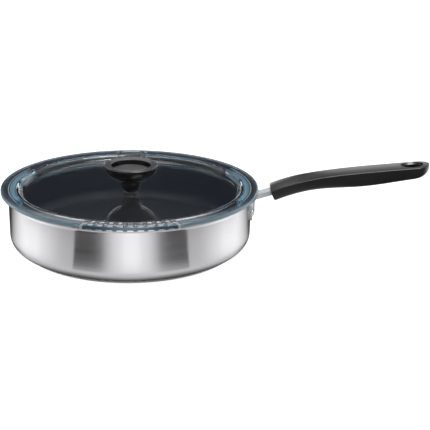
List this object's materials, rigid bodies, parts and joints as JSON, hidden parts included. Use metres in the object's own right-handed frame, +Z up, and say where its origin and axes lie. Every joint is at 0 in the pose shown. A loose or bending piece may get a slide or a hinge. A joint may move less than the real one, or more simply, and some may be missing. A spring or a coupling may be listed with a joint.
{
  "type": "deep frying pan with lid",
  "caption": "Deep steel frying pan with a capped sandwich base, a rising riveted handle and a sunken glass lid that strains at the front, pours at the back and carries a bowl-shaped knob.",
  "frame": {"origin": "on the pan's axis, on the flat underside of its base", "axes": "+X from the pan's axis along the handle, +Y away from the camera of the picture, about to the lid's pouring gap, +Z up"},
  "size_m": [0.4671, 0.2816, 0.1],
  "materials": {
    "brushed_steel": "stainless steel brushed round the pan",
    "coating": "dark grey non-stick layer, satin",
    "aluminium": "rolled",
    "casting": "die casting, blasted matt",
    "phenolic": "black phenolic moulding, satin",
    "inlay": "grey disc, satin",
    "glass": "pressed clear glass, bluish at the edges",
    "silicone": "matt",
    "brass": "turned"
  },
  "bodies": {
    "pan": {"pan_shell": "brushed_steel", "nonstick_coating": "coating", "base_core": "aluminium", "base_cap": "brushed_steel", "handle_bracket": "casting", "rivet_front": "brushed_steel", "rivet_back": "brushed_steel", "handle_grip": "phenolic", "handle_screw": "brushed_steel"},
    "knob_foot": {"knob_ferrule": "brushed_steel", "upper_gasket": "silicone", "lower_gasket": "silicone", "lid_washer": "brushed_steel"},
    "lid": {"lid_glass": "glass", "knob": "phenolic", "knob_disc": "inlay", "knob_insert": "brass", "lid_screw": "brushed_steel"}
  },
  "joints": [
    {"name": "lid_lift", "type": "slide", "parent": "pan", "child": "knob_foot", "axis": [0, 0, 1], "range_m": [0, 0.1]},
    {"name": "lid_turn", "type": "hinge", "parent": "knob_foot", "child": "lid", "pos_m": [0, 0, 0.0568], "axis": [0, 0, 1], "continuous": true}
  ]
}
